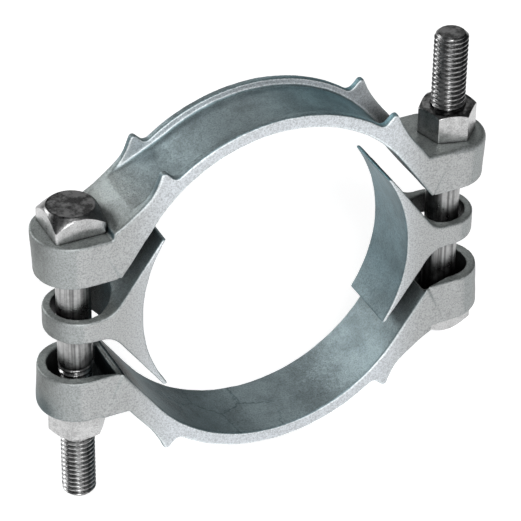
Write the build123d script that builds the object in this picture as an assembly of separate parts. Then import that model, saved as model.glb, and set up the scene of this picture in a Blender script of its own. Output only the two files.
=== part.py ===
"""Double-bolt pipe and hose repair clamp, in millimetres.

The pipe's axis is Y, the two bolts stand along Z at either side of the bore,
and the origin is the centre of the bore. Both clamp halves are the same
casting and both bolts and saddles are the same parts: whatever the upper half
or the left bolt is, a half turn about the pipe's axis gives its partner.
"""

from build123d import *
from math import atan, cos, degrees, radians, sin, sqrt, tan
import os

# Where the pieces stand in the assembly
bolt_offset = 74.3  # bolt axes, from the bore axis along X
half_lift = 5.9  # each half's own bore centre, from the clamp's centre plane
seat_height = 38.2  # bolt-head and nut seats on the lugs, from the centre plane
mating_height = 20.5  # open ends of the lugs, from the centre plane

# Clamp half: a channel-section arc with a cup-shaped lug at each end
bore_radius = 59.0
bore_half_angle = 55.0  # true arc either side of the crown, then straight to the lug
rim_radius = 64.5
trough_radius = 61.4
half_width = 14.8
flange_thickness = 2.9
edge_round = 0.8

# Front view of the half beyond its crown, as (x, z) from the half's own bore centre:
# each flange rises to a pointed fin and then falls in a hollow curve to the lug
fin_foot = (40.4, 50.2)
fin_tip = (45.4, 55.4)
fin_tip_round = 1.3
fin_foot_round = 2.5
head_ramp = [(49.4, 46.4), (56.2, 40.2)]
head_ramp_slopes = [(0.42, -1), (1, -0.42)]  # as it leaves the fin and as it reaches the lug
head_shoulder_height = 34.8
nut_ramp = [(51.4, 43.4)]
nut_ramp_slopes = [(0.36, -1), (0.62, -1)]
nut_flank_x = 59.6  # where the nut side's flange meets the seat

# Trough between the flanges
trough_nut_turn = 50.0  # beyond this angle from the crown the floor runs straight
trough_head_turn = 32.0
trough_head_end = (57.5, 39.6)  # where the floor fades into the ramp on the head side
trough_head_slope = (1, -0.5)
trough_round = 1.3

# Lug cups
lug_foot_radius = 14.0  # at the open end; the draft widens it to half_width at the seat
lug_step = 1.0  # from the strap's foot out to where the lug's own block starts
cup_wall = 3.6
cup_draft = 1.5
cup_step = 0.6  # from the strap's foot out to the hollow
cup_mouth_depth = 3.0
cup_mouth_start = 2.0  # inside the bolt axis, where the mouth begins to flare
cup_mouth_overrun = 1.0  # past the strap's foot towards the bore
cup_rim_at_bore = 1.0
seat_thickness = 6.5
nut_seat_round = 2.4  # round the outside of the nut's seat
bolt_hole_radius = 7.2
crease_inset = 4.0  # from the bolt axis to where the strap's flat face ends on the seat
shoulder_gap = 0.35  # between the bolt head's flat and the shoulder that stops it turning

# Saddles: the loose bridges that close the gap between the halves
saddle_reach = 53.0  # inner face of a saddle on the centre plane, from the bore axis
saddle_half_height = 31.8
saddle_half_width = 13.2
saddle_tip_thickness = 1.6
saddle_web = (61.2, 9.4)  # where the shoe's back turns into the eye
saddle_web_slope = (0.55, -0.8)
saddle_web_reach = 4.5  # how far inside the bolt axis the eye is at full height
eye_half_height = 4.5
eye_overhang = 11.2  # past the bolt axis
eye_wall = 3.2
eye_inner_end = 60.6  # inner end of the long hole
eye_corner_radius = 8.0
saddle_edge_round = 0.6

# Bolts and nuts: half-inch coarse thread
bolt_diameter = 12.7
thread_diameter = 12.6
bolt_length = 117.5
thread_length = 60.0
bolt_end_chamfer = 1.4
head_width = 19.05
head_height = 9.0
head_side_height = 4.4
head_top_diameter = 17.4
nut_width = 19.05
nut_height = 11.1
nut_bore_diameter = 12.7
nut_face_diameter = 19.0
right_nut_turn = 15.0  # degrees each nut happens to stand at, about its bolt
left_nut_turn = 5.0


def from_bore(x, z):
    """A point of the upper half's front view, given from that half's bore centre."""
    return (x, half_lift + z)


def on_circle(radius, angle):
    """A point at a radius from the upper half's bore centre and an angle from its crown."""
    return from_bore(radius * sin(radians(angle)), radius * cos(radians(angle)))


def strap_foot(radius, height, turn=bore_half_angle):
    """Where a flank that leaves a circle round the bore straight comes down to a height."""
    start_x, start_z = on_circle(radius, turn)
    return (start_x + (start_z - height) / tan(radians(turn)), height)


def mirrored(point):
    return (-point[0], point[1])


def is_arc(edge, radius):
    return edge.geom_type == GeomType.CIRCLE and abs(edge.radius - radius) < 0.01


def runs_across(edge, height):
    """Whether an edge runs along the pipe's axis at a height."""
    return abs(edge.tangent_at(0).Y) > 0.99 and abs(edge.center().Z - height) < 0.1


def soften(body, chosen, radius=edge_round):
    """The chosen edges of a casting, rounded as the foundry leaves them."""
    return fillet([edge for edge in body.edges() if chosen(edge)], radius)


def front_plate(edges, depth):
    """The closed front view made into a plate of a half depth either side of the centre."""
    return extrude(Plane.XZ * make_face(edges), depth, both=True)


def strap_body():
    """The half's whole front view, lug shoulders and fins included, at full width."""
    inner_foot = strap_foot(bore_radius, mating_height)
    inner_start = on_circle(bore_radius, bore_half_angle)
    foot = from_bore(*fin_foot)
    tip = from_bore(*fin_tip)
    seat_corner = (bolt_offset - crease_inset, seat_height)
    nut_flank = (nut_flank_x, seat_height)
    shoulder_x = bolt_offset - head_width / 2 - shoulder_gap
    shoulder_top = from_bore(shoulder_x, head_shoulder_height)
    head_points = [tip, *(from_bore(*point) for point in head_ramp), shoulder_top]
    head_side = Spline(
        [mirrored(point) for point in head_points],
        tangents=[mirrored(slope) for slope in head_ramp_slopes],
    )
    nut_points = [tip, *(from_bore(*point) for point in nut_ramp), nut_flank]
    nut_side = Spline(nut_points, tangents=nut_ramp_slopes)
    crown = ThreePointArc(foot, on_circle(rim_radius, 0), mirrored(foot))
    bore = ThreePointArc(mirrored(inner_start), on_circle(bore_radius, 0), inner_start)
    outline = [
        Line(inner_foot, seat_corner),
        Line(seat_corner, nut_flank),
        nut_side,
        Line(tip, foot),
        crown,
        Line(mirrored(foot), mirrored(tip)),
        head_side,
        Line(mirrored(shoulder_top), (-shoulder_x, seat_height)),
        Line((-shoulder_x, seat_height), mirrored(seat_corner)),
        Line(mirrored(seat_corner), mirrored(inner_foot)),
        Line(mirrored(inner_foot), mirrored(inner_start)),
        bore,
        Line(inner_start, inner_foot),
    ]
    plate = front_plate(outline, half_width)
    plate = soften(plate, lambda edge: runs_across(edge, tip[1]), fin_tip_round)
    plate = soften(plate, lambda edge: runs_across(edge, foot[1]), fin_foot_round)
    return soften(plate, lambda edge: abs(edge.center().Y) > half_width - 0.01)


def trough():
    """The channel between the two flanges, down to the nut seat on one side and
    fading into the shoulder of the bolt head's lug on the other."""
    floor_turn = on_circle(trough_radius, trough_nut_turn)
    nut_floor_x, _ = strap_foot(trough_radius, seat_height, trough_nut_turn)
    head_turn = mirrored(on_circle(trough_radius, trough_head_turn))
    head_floor = mirrored(from_bore(*trough_head_end))
    floor_slope = (-cos(radians(trough_head_turn)), -sin(radians(trough_head_turn)))
    fading_floor = Spline([head_turn, head_floor], tangents=[floor_slope, mirrored(trough_head_slope)])
    open_x = bolt_offset
    above = half_lift + bore_radius + bolt_offset
    outline = [
        Line((open_x, seat_height), (nut_floor_x, seat_height)),
        Line((nut_floor_x, seat_height), floor_turn),
        ThreePointArc(floor_turn, on_circle(trough_radius, 0), head_turn),
        fading_floor,
        Line(head_floor, (head_floor[0], above)),
        Line((head_floor[0], above), (open_x, above)),
        Line((open_x, above), (open_x, seat_height)),
    ]
    channel = front_plate(outline, half_width - flange_thickness)
    return soften(channel, lambda edge: is_arc(edge, trough_radius), trough_round)


def round_ended(radius, inner_end):
    """The plan of a lug or of its hollow: straight sides and a round end about the bolt."""
    return make_face(
        [
            Line((inner_end, -radius), (bolt_offset, -radius)),
            ThreePointArc(
                (bolt_offset, -radius), (bolt_offset + radius, 0), (bolt_offset, radius)
            ),
            Line((bolt_offset, radius), (inner_end, radius)),
            Line((inner_end, radius), (inner_end, -radius)),
        ]
    )


def on_seat_rim(edge):
    """Whether an edge runs round the top of a lug, its inner end left out."""
    return edge.center().Z > seat_height - 0.01 and edge.center().X > bolt_offset - half_width / 2


def lug(seat_round):
    """The right lug: a drafted round-ended block, before its cup is hollowed out."""
    height = seat_height - mating_height
    draft = degrees(atan((half_width - lug_foot_radius) / height))
    inner_end = strap_foot(bore_radius, mating_height)[0] + lug_step
    plan = Pos(0, 0, mating_height) * round_ended(lug_foot_radius, inner_end)
    block = extrude(plan, height, taper=-draft)
    return soften(block, on_seat_rim, seat_round)


def cup():
    """The hollow of the right lug, open downwards, its mouth flared towards the bore."""
    depth = seat_height - mating_height - seat_thickness
    radius = lug_foot_radius - cup_wall
    inner_end = strap_foot(bore_radius, mating_height)[0]
    pocket = extrude(round_ended(radius, inner_end + cup_step), depth, taper=cup_draft)
    flare = half_width - cup_rim_at_bore
    mouth_start = bolt_offset - cup_mouth_start
    mouth_end = inner_end - cup_mouth_overrun
    mouth_plan = Polyline(
        (mouth_start, -radius),
        (mouth_end, -flare),
        (mouth_end, flare),
        (mouth_start, radius),
        close=True,
    )
    mouth = extrude(make_face(mouth_plan), cup_mouth_depth)
    hole = Pos(bolt_offset, 0) * extrude(Circle(bolt_hole_radius), seat_height)
    return Pos(0, 0, mating_height) * (pocket + mouth + hole)


def across_middle(shape):
    """A piece of the right side, mirrored to the left."""
    return mirror(shape, Plane.YZ)


def clamp_half():
    """The upper half; its bolt head sits on the left lug, its nut on the right one."""
    body = strap_body() - trough()
    body += lug(nut_seat_round) + across_middle(lug(edge_round))
    body -= cup() + across_middle(cup())
    return body


def on_outline(edge):
    """Whether an edge runs round the saddle's front or back face or its eye's round end."""
    on_face = abs(edge.center().Y) > saddle_half_width - 0.01
    return on_face or is_arc(edge, saddle_half_width)


def saddle():
    """The right saddle: a thin curved shoe under both halves, and an eye round the bolt."""
    reach = saddle_reach - bore_radius
    tip_x = reach + sqrt(bore_radius**2 - saddle_half_height**2)
    tip = (tip_x, saddle_half_height)
    tip_back = (tip_x + saddle_tip_thickness, saddle_half_height)
    eye_top = (bolt_offset - saddle_web_reach, eye_half_height)
    eye_end = bolt_offset + eye_overhang
    shoulder = Spline(saddle_web, eye_top, tangents=[saddle_web_slope, (1, 0)])
    below = mirror(shoulder, Plane.XZ)
    outline = [
        ThreePointArc((tip[0], -tip[1]), (saddle_reach, 0), tip),
        Line(tip, tip_back),
        Line(tip_back, saddle_web),
        shoulder,
        Line(eye_top, (eye_end, eye_half_height)),
        Line((eye_end, eye_half_height), (eye_end, -eye_half_height)),
        Line((eye_end, -eye_half_height), (eye_top[0], -eye_top[1])),
        below,
        Line((saddle_web[0], -saddle_web[1]), (tip_back[0], -tip_back[1])),
        Line((tip_back[0], -tip_back[1]), (tip[0], -tip[1])),
    ]
    body = front_plate(outline, saddle_half_width)
    eye_centre = eye_end - saddle_half_width
    round_end = Pos(eye_centre, 0) * Circle(saddle_half_width)
    keep = round_end + Pos(eye_centre / 2, 0) * Rectangle(eye_centre, 2 * saddle_half_width)
    body &= extrude(keep, saddle_half_height, both=True)
    hole_radius = saddle_half_width - eye_wall
    hole = make_hull(
        (
            Pos(eye_centre, 0) * Circle(hole_radius)
            + Pos(eye_inner_end + eye_corner_radius, 0) * Circle(eye_corner_radius)
        ).edges()
    )
    body = soften(body, on_outline, saddle_edge_round)
    return body - extrude(hole, saddle_half_height, both=True)


def square_head():
    """The bolt's square head, chamfered round its top, standing on the XY plane."""
    block = extrude(Rectangle(head_width, head_width), head_height)
    corner = head_width / sqrt(2)
    rise = head_height - head_side_height
    slope = (corner - head_top_diameter / 2) / rise
    cone = Cone(corner + slope * head_side_height, head_top_diameter / 2, head_height)
    return block & Pos(0, 0, head_height / 2) * cone


def bolt():
    """The left bolt: head on the upper half's lug, thread end down through the lower lug."""
    shank_length = bolt_length - thread_length
    shank = Pos(0, 0, -shank_length / 2) * Cylinder(bolt_diameter / 2, shank_length)
    thread = Cylinder(thread_diameter / 2, thread_length)
    thread = Pos(0, 0, -shank_length - thread_length / 2) * thread
    thread = chamfer(thread.edges().sort_by(Axis.Z)[0], bolt_end_chamfer)
    return Pos(-bolt_offset, 0, seat_height) * (square_head() + shank + thread)


def nut():
    """A hexagon nut standing on the XY plane, with its outer corners chamfered."""
    corner = nut_width / sqrt(3)
    block = extrude(RegularPolygon(corner, 6), nut_height)
    rise = (corner - nut_face_diameter / 2) / sqrt(3)
    drum = Cylinder(corner, nut_height, align=(Align.CENTER, Align.CENTER, Align.MIN))
    drum = chamfer(drum.edges().sort_by(Axis.Z)[-1], rise, corner - nut_face_diameter / 2)
    hole = Cylinder(nut_bore_diameter / 2, 3 * nut_height)
    return (block & drum) - hole


def about_pipe(shape):
    """The same piece a half turn round the pipe's axis, where its partner stands."""
    return Rot(0, 180, 0) * shape


def assembly():
    upper = clamp_half()
    left_bolt = bolt()
    right_saddle = saddle()
    right_nut = Pos(bolt_offset, 0, seat_height) * Rot(0, 0, -right_nut_turn) * nut()
    left_nut = about_pipe(Pos(bolt_offset, 0, seat_height) * Rot(0, 0, left_nut_turn) * nut())
    return {
        "upper_clamp_half": upper,
        "lower_clamp_half": about_pipe(upper),
        "left_bolt": left_bolt,
        "right_bolt": about_pipe(left_bolt),
        "right_saddle": right_saddle,
        "left_saddle": about_pipe(right_saddle),
        "right_nut": right_nut,
        "left_nut": left_nut,
    }


os.makedirs("parts", exist_ok=True)
for name, shape in assembly().items():
    shape.label = name
    export_step(shape, f"parts/{name}.step")
    print(name, round(shape.volume), "mm3")
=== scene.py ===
"""Looks of the double-bolt pipe clamp: sand-cast halves and saddles, rolled threads, soft studio.

Lengths are metres in the row frame: the pipe lies along Y, the bolts stand along Z.
"""

from math import ceil, cos, pi, radians, sin, sqrt, tan

import bmesh
import bpy
from mathutils import Matrix, Vector


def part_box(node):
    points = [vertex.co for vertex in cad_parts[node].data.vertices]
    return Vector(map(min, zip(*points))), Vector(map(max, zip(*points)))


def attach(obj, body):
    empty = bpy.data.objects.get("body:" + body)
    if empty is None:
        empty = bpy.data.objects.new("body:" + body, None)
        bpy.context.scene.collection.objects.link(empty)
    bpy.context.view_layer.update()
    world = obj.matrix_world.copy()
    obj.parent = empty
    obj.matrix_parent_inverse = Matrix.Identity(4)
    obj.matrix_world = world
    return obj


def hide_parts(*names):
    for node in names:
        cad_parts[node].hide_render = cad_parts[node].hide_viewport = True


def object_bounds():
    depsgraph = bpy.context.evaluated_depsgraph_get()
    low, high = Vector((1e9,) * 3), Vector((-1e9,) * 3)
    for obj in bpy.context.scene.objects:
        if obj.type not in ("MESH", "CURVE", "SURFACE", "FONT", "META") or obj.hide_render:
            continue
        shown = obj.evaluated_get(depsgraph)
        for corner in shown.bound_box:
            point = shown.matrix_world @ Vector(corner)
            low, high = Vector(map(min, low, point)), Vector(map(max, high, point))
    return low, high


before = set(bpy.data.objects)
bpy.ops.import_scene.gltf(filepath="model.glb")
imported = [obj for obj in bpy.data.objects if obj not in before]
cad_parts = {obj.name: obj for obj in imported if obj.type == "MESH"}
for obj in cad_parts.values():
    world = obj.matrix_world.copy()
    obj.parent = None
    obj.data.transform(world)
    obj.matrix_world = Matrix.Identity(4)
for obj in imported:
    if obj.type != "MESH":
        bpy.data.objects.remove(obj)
cad_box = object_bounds()

MM = 0.001

# Fasteners, as the frame has them: half-inch coarse thread
bolt_low, bolt_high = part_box("right_bolt")
nut_low, nut_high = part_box("right_nut")
BOLT_X = (bolt_low.x + bolt_high.x) / 2
HEAD_WIDTH = bolt_high.x - bolt_low.x
HEAD_HEIGHT = 9.0 * MM
SEAT_Z = nut_low.z  # the nut's seat; the head's is as far below the centre
NUT_HEIGHT = nut_high.z - nut_low.z
BOLT_TOP = bolt_high.z
SHANK_RADIUS = 6.35 * MM
CREST_RADIUS = 6.28 * MM
ROOT_RADIUS = 5.38 * MM
PITCH = 25.4 * MM / 13
THREAD_LENGTH = 60 * MM
TIP_CHAMFER = 1.4 * MM
HEAD_TOP_RADIUS = 8.7 * MM
HEAD_CORNER_SIDE = 4.4 * MM  # height of the head's vertical edges
HEAD_CORNER_ROUND = 0.7 * MM
NUT_WIDTH = 19.05 * MM
NUT_FACE_RADIUS = 9.5 * MM
NUT_CORNER_ROUND = 0.35 * MM
NUT_CHAMFER_SLOPE = tan(radians(30))
THREAD_CLEARANCE = 0.1 * MM
RIGHT_NUT_TURN = radians(-15)
LEFT_NUT_TURN = radians(5)
THREAD_RUNOUT = 1.5 * PITCH
BOLT_ROWS_PER_PITCH = 14
NUT_ROWS_PER_PITCH = 12
HARD_EDGE = radians(28)

# Zinc on the fasteners
SHANK_DARK = (0.16, 0.16, 0.16, 1)
SHANK_PALE = (0.40, 0.40, 0.40, 1)
FACET = (0.55, 0.55, 0.55, 1)
# Painted reflection: the flat tops of the head and nut are near black and mottled, standing in for the
# dark surroundings they mirror.
TOP_REFLECTION_DARK = (0.015, 0.015, 0.015, 1)
TOP_REFLECTION_PALE = (0.13, 0.13, 0.13, 1)

# Castings
CASTINGS = ["upper_clamp_half", "lower_clamp_half", "left_saddle", "right_saddle"]
CAST_VOXEL = 0.45 * MM

# Painted light: lit and shaded copies of the cast tone, lighter for faces that look up and darker for
# faces that look sideways, on the arc and on the lugs; the upper right tops are bluer.
SHADED_SIDE_CAST = (0.17, 0.245, 0.27, 1)
LIT_TOP_CAST = (0.35, 0.43, 0.45, 1)
LIT_TOP_CAST_BLUE = (0.30, 0.50, 0.56, 1)
SHADED_LUG_SIDE = (0.24, 0.255, 0.25, 1)
LIT_LUG_TOP = (0.42, 0.45, 0.44, 1)
# Dark teal for the veins, and for painted shade low on the left.
DARK_VEINS_AND_SHADE = (0.055, 0.11, 0.125, 1)
# Painted light: walls that look partly along the pipe are near white on the crown and mid grey on the
# lugs.
LIT_CROWN_WALL = (0.82, 0.87, 0.89, 1)
LUG_WALL = (0.36, 0.38, 0.38, 1)
# Painted shade: a darker tone where a face on the crown turns from looking along the pipe to looking up.
SHADED_EDGE_TONE = (0.20, 0.27, 0.29, 1)
# Flat faces that look straight along the pipe, lighter on the crown than on the lugs: partly painted
# light.
FLAT_FACE_LUG = (0.44, 0.45, 0.45, 1)
FLAT_FACE_CROWN = (0.64, 0.67, 0.70, 1)

# Studio: a lamp's place, side and power
LAMPS = {
    "key": ((-0.8, -1.9, 1.3), 1.2, 62),
    "back": ((-1.26, 1.60, 0.90), 0.9, 20),
    "top": ((0.76, 1.54, 1.30), 0.8, 4),
}
SKY = (0.80, 0.86, 0.90, 1)
SKY_STRENGTH = 0.05
FLOOR_GLOW = 0.60
FLOOR_REACH = 12

# Camera: where it stands from the clamp, and how it is held
CAMERA_AZIMUTH = radians(-26.45)
CAMERA_ELEVATION = radians(35.06)
CAMERA_ROLL = radians(0.87)
CAMERA_DISTANCE = 1.0261
CAMERA_LENS = 194.8
CAMERA_AIM = Vector((-0.0003, 0.0009, 0.0009))


# ---------------------------------------------------------------- nodes

class Shader:
    """A material's node tree, written as one call per node."""

    def __init__(self, name):
        self.material = bpy.data.materials.new(name)
        self.material.use_nodes = True
        self.tree = self.material.node_tree
        self.principled = self.tree.nodes["Principled BSDF"]
        self.coordinates = self.add("ShaderNodeTexCoord")
        self.place = self.coordinates.outputs["Object"]

    def add(self, kind, settings=None, **inputs):
        node = self.tree.nodes.new(kind)
        for key, value in (settings or {}).items():
            setattr(node, key, value)
        for key, value in inputs.items():
            self.put(node.inputs[key.replace("_", " ")], value)
        return node

    def put(self, socket, value):
        if isinstance(value, bpy.types.NodeSocket):
            self.tree.links.new(value, socket)
        else:
            socket.default_value = value

    def noise(self, size, detail=3.0, roughness=0.55, place=None):
        """Noise whose features are about size metres across."""
        node = self.add("ShaderNodeTexNoise", Vector=place or self.place, Scale=1 / size)
        node.inputs["Detail"].default_value = detail
        node.inputs["Roughness"].default_value = roughness
        return node.outputs["Fac"]

    def bent(self, size, reach):
        """The place, pushed about by noise so that lines drawn with it wander."""
        push = self.add("ShaderNodeTexNoise", Vector=self.place, Scale=1 / size).outputs["Color"]
        aside = self.add("ShaderNodeVectorMath", {"operation": "SCALE"}, Vector=push, Scale=reach)
        moved = self.add("ShaderNodeVectorMath", Vector=self.place)
        self.put(moved.inputs[1], aside.outputs[0])
        return moved.outputs[0]

    def spots(self, size, feature="F1", place=None):
        node = self.add("ShaderNodeTexVoronoi", {"feature": feature}, Vector=place or self.place)
        node.inputs["Scale"].default_value = 1 / size
        return node.outputs["Distance"]

    def ramp(self, value, low, high, out_low=0.0, out_high=1.0):
        """A smooth step of value from low to high."""
        node = self.add("ShaderNodeMapRange", {"interpolation_type": "SMOOTHSTEP"}, Value=value)
        node.inputs["From Min"].default_value = low
        node.inputs["From Max"].default_value = high
        node.inputs["To Min"].default_value = out_low
        node.inputs["To Max"].default_value = out_high
        return node.outputs["Result"]

    def mix(self, share, first, second, blend="MIX"):
        node = self.add("ShaderNodeMix", {"data_type": "RGBA", "blend_type": blend})
        self.put(node.inputs["Factor"], share)
        self.put(node.inputs[6], first)
        self.put(node.inputs[7], second)
        return node.outputs[2]

    def calc(self, operation, first, second=0.0):
        node = self.add("ShaderNodeMath", {"operation": operation})
        self.put(node.inputs[0], first)
        self.put(node.inputs[1], second)
        return node.outputs[0]

    def cavity(self, distance):
        """1 in the open, falling to 0 in a cavity smaller than distance."""
        node = self.add("ShaderNodeAmbientOcclusion", {"samples": 8})
        node.inputs["Distance"].default_value = distance
        return node.outputs["AO"]

    def facing(self):
        """How far a surface faces along the pipe, either way, and up."""
        parts = self.add("ShaderNodeSeparateXYZ", Vector=self.coordinates.outputs["Normal"]).outputs
        return self.calc("ABSOLUTE", parts["Y"]), parts["Z"]

    def spot(self):
        """Where a point is: to the right, along the pipe and up."""
        parts = self.add("ShaderNodeSeparateXYZ", Vector=self.place).outputs
        return parts["X"], parts["Y"], parts["Z"]

    def from_bolt(self):
        """Distance from the nearer bolt's axis."""
        side, depth, _ = self.spot()
        aside = self.calc("SUBTRACT", self.calc("ABSOLUTE", side), BOLT_X)
        flat = self.add("ShaderNodeCombineXYZ", X=aside, Y=depth)
        length = self.add("ShaderNodeVectorMath", {"operation": "LENGTH"}, Vector=flat.outputs[0])
        return length.outputs["Value"]

    def darken(self, colour, share):
        """The colour multiplied by a share from 0 to 1."""
        return self.mix(1.0, colour, share, "MULTIPLY")

    def bump(self, height, distance, strength=1.0, normal=None):
        node = self.add("ShaderNodeBump", Height=height, Distance=distance, Strength=strength)
        if normal:
            self.put(node.inputs["Normal"], normal)
        return node.outputs["Normal"]


def grey(value):
    return (value, value, value, 1)


def cast_zinc():
    """Zinc-plated malleable iron: dark blue-green as cast; pale where faces look along the pipe or up,
    which is painted light.

    The colours follow where a face looks and where it is, so they hold some shading as well as pigment.
    """
    shader = Shader("cast_zinc")
    grain = shader.noise(0.6 * MM, detail=4, roughness=0.7)
    lumps = shader.noise(4 * MM, detail=2)
    rough = shader.noise(1.6 * MM, detail=3)
    clouds = shader.noise(15 * MM, detail=5, roughness=0.65)
    bent = shader.bent(3 * MM, 5 * MM)
    pits = shader.ramp(shader.spots(2.6 * MM), 0.05, 0.16)
    along, up = shader.facing()
    side, _, height = shader.spot()
    crown = shader.ramp(shader.calc("ABSOLUTE", side), 62 * MM, 40 * MM)
    flat_face = shader.mix(crown, FLAT_FACE_LUG, FLAT_FACE_CROWN)
    lit_wall = shader.mix(crown, LUG_WALL, LIT_CROWN_WALL)
    high = shader.ramp(height, 0.0, 20 * MM)
    blue = shader.calc("MULTIPLY", high, shader.ramp(side, -10 * MM, 40 * MM))
    top = shader.mix(blue, LIT_TOP_CAST, LIT_TOP_CAST_BLUE)
    top = shader.mix(crown, LIT_LUG_TOP, top)
    lugs = shader.ramp(shader.calc("ABSOLUTE", side), 66 * MM, 74 * MM)
    aside = shader.mix(lugs, SHADED_SIDE_CAST, SHADED_LUG_SIDE)
    # Painted light: up-facing faces take the lit copy, sideways faces the shaded one.
    colour = shader.mix(shader.ramp(up, 0.2, 0.95), aside, top)
    low = shader.ramp(height, -25 * MM, -40 * MM)
    # Painted shade: the low left of the castings darkens towards dark teal.
    low_left_shade = shader.calc("MULTIPLY", low, shader.ramp(side, 0.0, -45 * MM, 0.0, 0.8))
    colour = shader.mix(low_left_shade, colour, DARK_VEINS_AND_SHADE)
    colour = shader.darken(colour, shader.ramp(clouds, 0.36, 0.62, 0.70, 1.0))
    veins = shader.ramp(shader.spots(24 * MM, "DISTANCE_TO_EDGE", bent), 0.0, 0.025, 0.55, 0.0)
    inside = shader.calc("MULTIPLY", low, shader.ramp(side, 8 * MM, 0.0))
    colour = shader.mix(shader.calc("MULTIPLY", veins, inside), colour, DARK_VEINS_AND_SHADE)
    # Painted light: faces that look partly along the pipe take the lit wall tone.
    colour = shader.mix(shader.ramp(along, 0.25, 0.9), colour, lit_wall)
    # Painted shade along the turn from front faces to tops on the crown.
    edge = shader.calc("MULTIPLY", shader.ramp(along, 0.30, 0.55), shader.ramp(up, 0.35, 0.60))
    colour = shader.mix(shader.calc("MULTIPLY", edge, crown), colour, SHADED_EDGE_TONE)
    # Partly painted light: flat faces that look straight along the pipe take the lighter flat tone.
    colour = shader.mix(shader.ramp(along, 0.94, 0.99), colour, flat_face)
    colour = shader.darken(colour, shader.ramp(grain, 0.32, 0.62, 0.58, 1.0))
    # Painted shade in tight corners and creases.
    colour = shader.darken(colour, shader.ramp(shader.cavity(3 * MM), 0.25, 0.75, 0.65, 1.0))
    # Painted shade in deep hollows, such as the lug cups and under the saddles, going nearly black.
    colour = shader.darken(colour, shader.ramp(shader.cavity(20 * MM), 0.18, 0.66, 0.04, 1.0))
    shader.put(shader.principled.inputs["Base Color"], colour)
    shader.put(shader.principled.inputs["Metallic"], 0.85)
    shader.put(shader.principled.inputs["Roughness"], shader.ramp(grain, 0.3, 0.7, 0.48, 0.62))
    normal = shader.bump(lumps, 0.25 * MM, 0.6)
    normal = shader.bump(rough, 0.18 * MM, shader.ramp(along, 0.6, 0.2, 0.15, 0.8), normal)
    normal = shader.bump(grain, 0.10 * MM, 0.8, normal)
    normal = shader.bump(pits, 0.15 * MM, 0.5, normal)
    shader.put(shader.principled.inputs["Normal"], normal)
    return shader.material


def bright_zinc():
    """Bright zinc plating on the bolts and nuts: lengthwise scratches, painted shade in the thread roots
    and hollows, and a painted dark reflection on the flat tops.
    """
    shader = Shader("bright_zinc")
    grain = shader.noise(0.5 * MM, detail=3)
    clouds = shader.noise(4 * MM, detail=4, roughness=0.7)
    drawn = shader.add("ShaderNodeMapping", Vector=shader.place)
    drawn.inputs["Scale"].default_value = (1, 1, 0.02)
    scratches = shader.noise(1.5 * MM, detail=2, place=drawn.outputs["Vector"])
    _, up = shader.facing()
    colour = shader.mix(shader.ramp(scratches, 0.36, 0.60), SHANK_DARK, SHANK_PALE)
    facets = shader.darken(FACET, shader.ramp(grain, 0.32, 0.60, 0.75, 1.0))
    # Painted shade: faces that tilt upward, such as the chamfers of head and nut, are darkened to half.
    facets = shader.darken(facets, shader.ramp(up, 0.30, 0.70, 1.0, 0.50))
    colour = shader.mix(shader.ramp(shader.from_bolt(), 6.5 * MM, 6.9 * MM), colour, facets)
    # Painted reflection: flat tops are coloured near black.
    painted_top_reflection = shader.mix(shader.ramp(clouds, 0.40, 0.62), TOP_REFLECTION_DARK, TOP_REFLECTION_PALE)
    colour = shader.mix(shader.ramp(up, 0.93, 0.99), colour, painted_top_reflection)
    colour = shader.darken(colour, shader.ramp(clouds, 0.35, 0.62, 0.72, 1.0))
    # Painted shade: the thread roots and tight corners go nearly black.
    colour = shader.darken(colour, shader.ramp(shader.cavity(1.6 * MM), 0.25, 0.85, 0.06, 1.0))
    # Painted shade: deep hollows, such as the lug cups round the fasteners, go nearly black.
    colour = shader.darken(colour, shader.ramp(shader.cavity(16 * MM), 0.10, 0.42, 0.08, 1.0))
    shader.put(shader.principled.inputs["Base Color"], colour)
    shader.put(shader.principled.inputs["Metallic"], 1.0)
    shader.put(shader.principled.inputs["Roughness"], shader.ramp(clouds, 0.3, 0.7, 0.26, 0.38))
    normal = shader.bump(clouds, 0.12 * MM, 0.4)
    normal = shader.bump(grain, 0.04 * MM, 0.6, normal)
    shader.put(shader.principled.inputs["Normal"], normal)
    return shader.material


def paper():
    """The pale floor."""
    shader = Shader("paper")
    fibres = shader.noise(0.4 * MM, detail=2)
    colour = shader.mix(fibres, grey(0.82), grey(0.86))
    shader.put(shader.principled.inputs["Base Color"], colour)
    shader.put(shader.principled.inputs["Roughness"], 0.9)
    shader.put(shader.principled.inputs["Emission Color"], grey(1))
    shader.put(shader.principled.inputs["Emission Strength"], FLOOR_GLOW)
    return shader.material


# ---------------------------------------------------------------- meshes

def new_piece(name, mesh, material, body, node):
    """A mesh that stands for a CAD node and rides on its body."""
    mesh.materials.clear()
    mesh.materials.append(material)
    piece = bpy.data.objects.new(name, mesh)
    bpy.context.scene.collection.objects.link(piece)
    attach(piece, body)
    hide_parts(node)
    return piece


def sharpen(mesh, angle):
    """Smooth shading, with a hard edge wherever two faces meet at more than an angle."""
    shape = bmesh.new()
    shape.from_mesh(mesh)
    bmesh.ops.recalc_face_normals(shape, faces=shape.faces)
    for face in shape.faces:
        face.smooth = True
    for edge in shape.edges:
        edge.smooth = len(edge.link_faces) == 2 and edge.calc_face_angle() < angle
    shape.to_mesh(mesh)
    shape.free()


def rounded_polygon(turn, sides, inradius, corner_round):
    """Distance from the centre to a regular polygon with rounded corners; flats face 90 degrees."""
    half = pi / sides
    from_flat = abs((turn - pi / 2 + half) % (2 * half) - half)
    reach = (inradius - corner_round) / cos(half)
    from_corner = half - from_flat
    if inradius * tan(from_flat) <= (inradius - corner_round) * tan(half):
        return inradius / cos(from_flat)
    return reach * cos(from_corner) + sqrt(corner_round**2 - (reach * sin(from_corner)) ** 2)


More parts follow.
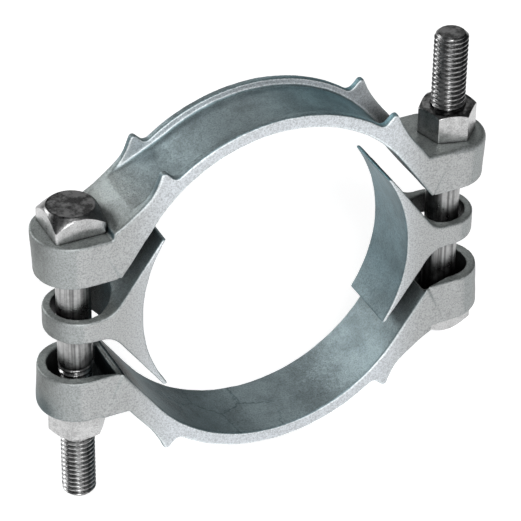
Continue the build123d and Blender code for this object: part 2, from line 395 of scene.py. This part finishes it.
def ring_turns(sides, per_side, corner_step):
    """Angles round a polygon, even along the flats and close together at the corners."""
    turns = []
    half = pi / sides
    for side in range(sides):
        corner = pi / 2 + half + side * 2 * half
        for step in (-2, -1, 0, 1, 2):
            turns.append(corner + step * corner_step)
        start = corner + 3 * corner_step
        gap = 2 * half - 6 * corner_step
        turns += [start + gap * i / (per_side - 1) for i in range(per_side)]
    return turns


def thread_radius(turn, z, clearance=0.0):
    """A rolled right-hand thread about Z: rounded roots and flat crests."""
    phase = (z / PITCH - turn / (2 * pi)) % 1
    flank = abs(2 * phase - 1)  # 1 at the crest's middle, 0 at the root's
    lift = min(max((flank - 0.12) / 0.70, 0), 1)
    return ROOT_RADIUS + (CREST_RADIUS - ROOT_RADIUS) * lift + clearance


def skin(rows, turns, close_ends):
    """A closed mesh from rings of (radius, z) pairs, one pair for each angle in turns."""
    shape = bmesh.new()
    rings = [
        [shape.verts.new((r * cos(t), r * sin(t), z)) for (r, z), t in zip(row, turns)] for row in rows
    ]
    count = len(turns)
    pairs = list(zip(rings, rings[1:]))
    if not close_ends:
        pairs.append((rings[-1], rings[0]))
    for upper, lower in pairs:
        for i in range(count):
            k = (i + 1) % count
            shape.faces.new((upper[i], upper[k], lower[k], lower[i]))
    if close_ends:
        for ring in (rings[0], rings[-1]):
            centre = sum((v.co for v in ring), Vector()) / count
            middle = shape.verts.new(centre)
            for i in range(count):
                shape.faces.new((ring[i], ring[(i + 1) % count], middle))
    mesh = bpy.data.meshes.new("skin")
    shape.to_mesh(mesh)
    shape.free()
    return mesh


def eased(first, second, share):
    return tuple(a + (b - a) * share for a, b in zip(first, second))


def head_rows(turns):
    """Rings of the square head from its top edge to its seat, the head standing up from z = 0."""
    corner = HEAD_WIDTH / sqrt(2)
    slope = (corner - HEAD_TOP_RADIUS) / (HEAD_HEIGHT - HEAD_CORNER_SIDE)
    side = [rounded_polygon(t, 4, HEAD_WIDTH / 2, HEAD_CORNER_ROUND) for t in turns]
    edge_z = [HEAD_HEIGHT - (r - HEAD_TOP_RADIUS) / slope for r in side]
    soft = 0.25 * MM
    rows = []
    for share, drop in ((0.25, 0.16), (0.5, 0.13), (0.75, 0.06), (0.9, 0.01)):
        rows.append([(HEAD_TOP_RADIUS * share, HEAD_HEIGHT - drop * MM)] * len(turns))
    rows.append([(HEAD_TOP_RADIUS - soft, HEAD_HEIGHT)] * len(turns))
    rows.append([(HEAD_TOP_RADIUS, HEAD_HEIGHT - 0.3 * soft)] * len(turns))
    rim = (HEAD_TOP_RADIUS, HEAD_HEIGHT - 0.3 * soft)
    for share in (0.12, 0.5, 0.88):
        rows.append([eased(rim, (r, z), share) for r, z in zip(side, edge_z)])
    rows.append([(r, z - 0.5 * soft) for r, z in zip(side, edge_z)])
    rows.append([(r, z - 1.5 * soft) for r, z in zip(side, edge_z)])
    rows.append([(r, 0.5 * z) for r, z in zip(side, edge_z)])
    rows.append([(r, 1.2 * soft) for r in side])
    rows.append([(r - 0.3 * soft, 0.3 * soft) for r in side])
    rows.append([(r - soft, 0.0) for r in side])
    return rows


def bolt_mesh():
    """The right bolt about its own axis: square head down, thread up, in the row frame's heights."""
    turns = ring_turns(4, 20, radians(1.4))
    rows = [[(r, -SEAT_Z - z) for r, z in row] for row in head_rows(turns)]
    rows.append([(SHANK_RADIUS + 0.6 * MM, -SEAT_Z)] * len(turns))
    rows.append([(SHANK_RADIUS + 0.15 * MM, -SEAT_Z + 0.15 * MM)] * len(turns))
    thread_start = BOLT_TOP - THREAD_LENGTH
    for z in (-SEAT_Z + 0.6 * MM, -SEAT_Z / 2, thread_start - 1.2 * MM, thread_start - 0.2 * MM):
        rows.append([(SHANK_RADIUS, z)] * len(turns))
    steps = ceil(THREAD_LENGTH / PITCH * BOLT_ROWS_PER_PITCH)
    for step in range(steps):
        z = thread_start + (step + 0.5) / steps * (THREAD_LENGTH - 0.15 * MM)
        fade = min((z - thread_start) / THREAD_RUNOUT, 1)
        cone = CREST_RADIUS - TIP_CHAMFER + (BOLT_TOP - z)
        ring = []
        for turn in turns:
            radius = SHANK_RADIUS + (thread_radius(turn, z) - SHANK_RADIUS) * fade
            ring.append((min(radius, cone), z))
        rows.append(ring)
    tip = CREST_RADIUS - TIP_CHAMFER
    rows.append([(tip - 0.1 * MM, BOLT_TOP)] * len(turns))
    rows.append([(tip * 0.5, BOLT_TOP - 0.05 * MM)] * len(turns))
    return skin(rows, turns, close_ends=True)


def nut_mesh(turn):
    """The right nut about the bolt's axis, its hexagon turned but its thread in step with the bolt's."""
    turns = [t + turn for t in ring_turns(6, 12, radians(1.2))]
    hexagon = [rounded_polygon(t - turn, 6, NUT_WIDTH / 2, NUT_CORNER_ROUND) for t in turns]
    top = SEAT_Z + NUT_HEIGHT
    edge_z = [top - (r - NUT_FACE_RADIUS) * NUT_CHAMFER_SLOPE for r in hexagon]
    soft = 0.2 * MM
    mouth = CREST_RADIUS + 0.35 * MM
    rows = [[(NUT_FACE_RADIUS - soft, top)] * len(turns)]
    rows.append([(NUT_FACE_RADIUS, top - 0.3 * soft)] * len(turns))
    rim = (NUT_FACE_RADIUS, top - 0.3 * soft)
    for share in (0.5, 0.9):
        rows.append([eased(rim, (r, z), share) for r, z in zip(hexagon, edge_z)])
    rows.append([(r, z - 0.6 * soft) for r, z in zip(hexagon, edge_z)])
    rows.append([(r, z - 1.6 * soft) for r, z in zip(hexagon, edge_z)])
    rows.append([(r, SEAT_Z + 1.5 * soft) for r in hexagon])
    rows.append([(r - 0.3 * soft, SEAT_Z + 0.3 * soft) for r in hexagon])
    rows.append([(r - soft, SEAT_Z) for r in hexagon])
    rows.append([(mouth, SEAT_Z)] * len(turns))
    steps = ceil(NUT_HEIGHT / PITCH * NUT_ROWS_PER_PITCH)
    for step in range(steps):
        z = SEAT_Z + (step + 0.5) / steps * NUT_HEIGHT
        sink = max(mouth - (z - SEAT_Z), mouth - (top - z), 0)
        rows.append([(max(thread_radius(t, z, THREAD_CLEARANCE), sink), z) for t in turns])
    rows.append([(mouth, top)] * len(turns))
    return skin(rows, turns, close_ends=False)


def on_right(mesh):
    mesh.transform(Matrix.Translation((BOLT_X, 0, 0)))
    return mesh


def on_left(mesh):
    """The partner, half a turn round the pipe."""
    on_right(mesh).transform(Matrix.Rotation(pi, 4, "Y"))
    return mesh


def fasteners(material):
    meshes = {
        "right_bolt": on_right(bolt_mesh()),
        "left_bolt": on_left(bolt_mesh()),
        "right_nut": on_right(nut_mesh(RIGHT_NUT_TURN)),
        "left_nut": on_left(nut_mesh(LEFT_NUT_TURN)),
    }
    bodies = {"right_bolt": "lower", "left_bolt": "upper"}
    for node, mesh in meshes.items():
        sharpen(mesh, HARD_EDGE)
        new_piece(f"{node}_threaded", mesh, material, bodies.get(node, node), node)


def cast_mesh(source):
    """The CAD casting with its edges and inner corners softened, as the sand mould leaves them."""
    copy = bpy.data.objects.new("casting", source.data.copy())
    bpy.context.scene.collection.objects.link(copy)
    remesh = copy.modifiers.new("remesh", "REMESH")
    remesh.mode = "VOXEL"
    remesh.voxel_size = CAST_VOXEL
    smooth = copy.modifiers.new("smooth", "SMOOTH")
    smooth.factor = 0.5
    smooth.iterations = 8
    texture = bpy.data.textures.new("sand", "CLOUDS")
    texture.noise_scale = 6 * MM
    texture.noise_depth = 2
    uneven = copy.modifiers.new("uneven", "DISPLACE")
    uneven.texture = texture
    uneven.texture_coords = "LOCAL"
    uneven.strength = 0.25 * MM
    uneven.mid_level = 0.5
    graph = bpy.context.evaluated_depsgraph_get()
    mesh = bpy.data.meshes.new_from_object(copy.evaluated_get(graph))
    bpy.data.objects.remove(copy)
    for polygon in mesh.polygons:
        polygon.use_smooth = True
    return mesh


def castings(material):
    bodies = {"upper_clamp_half": "upper", "lower_clamp_half": "lower"}
    for node in CASTINGS:
        mesh = cast_mesh(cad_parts[node])
        new_piece(f"{node}_cast", mesh, material, bodies.get(node, node), node)


# ---------------------------------------------------------------- studio

def soft_box(name, place, side, power):
    """A square lamp facing the clamp."""
    data = bpy.data.lights.new(name, "AREA")
    data.shape = "RECTANGLE"
    data.size, data.size_y = side, side
    data.energy = power
    light = bpy.data.objects.new(name, data)
    light.location = place
    light.rotation_euler = (-Vector(place)).to_track_quat("-Z", "Y").to_euler()
    bpy.context.scene.collection.objects.link(light)


def studio():
    world = bpy.data.worlds.new("studio")
    world.use_nodes = True
    background = world.node_tree.nodes["Background"]
    background.inputs["Color"].default_value = SKY
    background.inputs["Strength"].default_value = SKY_STRENGTH
    bpy.context.scene.world = world
    for name, (place, side, power) in LAMPS.items():
        soft_box(name, place, side, power)
    mesh = bpy.data.meshes.new("floor")
    corners = [(x * FLOOR_REACH, y * FLOOR_REACH, 0) for x, y in ((-1, -1), (1, -1), (1, 1), (-1, 1))]
    mesh.from_pydata(corners, [], [(0, 1, 2, 3)])
    mesh.materials.append(paper())
    floor = bpy.data.objects.new("floor", mesh)
    floor.location.z = cad_box[0].z
    bpy.context.scene.collection.objects.link(floor)


def camera():
    away = Vector(
        (
            sin(CAMERA_AZIMUTH) * cos(CAMERA_ELEVATION),
            -cos(CAMERA_AZIMUTH) * cos(CAMERA_ELEVATION),
            sin(CAMERA_ELEVATION),
        )
    )
    data = bpy.data.cameras.new("camera")
    data.lens = CAMERA_LENS
    data.sensor_width = 36
    data.clip_start, data.clip_end = 0.05, 50
    eye = bpy.data.objects.new("camera", data)
    eye.location = CAMERA_AIM + away * CAMERA_DISTANCE
    level = (-away).to_track_quat("-Z", "Y").to_matrix()
    eye.rotation_euler = (level @ Matrix.Rotation(CAMERA_ROLL, 3, "Z")).to_euler()
    bpy.context.scene.collection.objects.link(eye)
    bpy.context.scene.camera = eye


castings(cast_zinc())
fasteners(bright_zinc())
studio()
camera()
bpy.context.scene.view_settings.view_transform = "Standard"
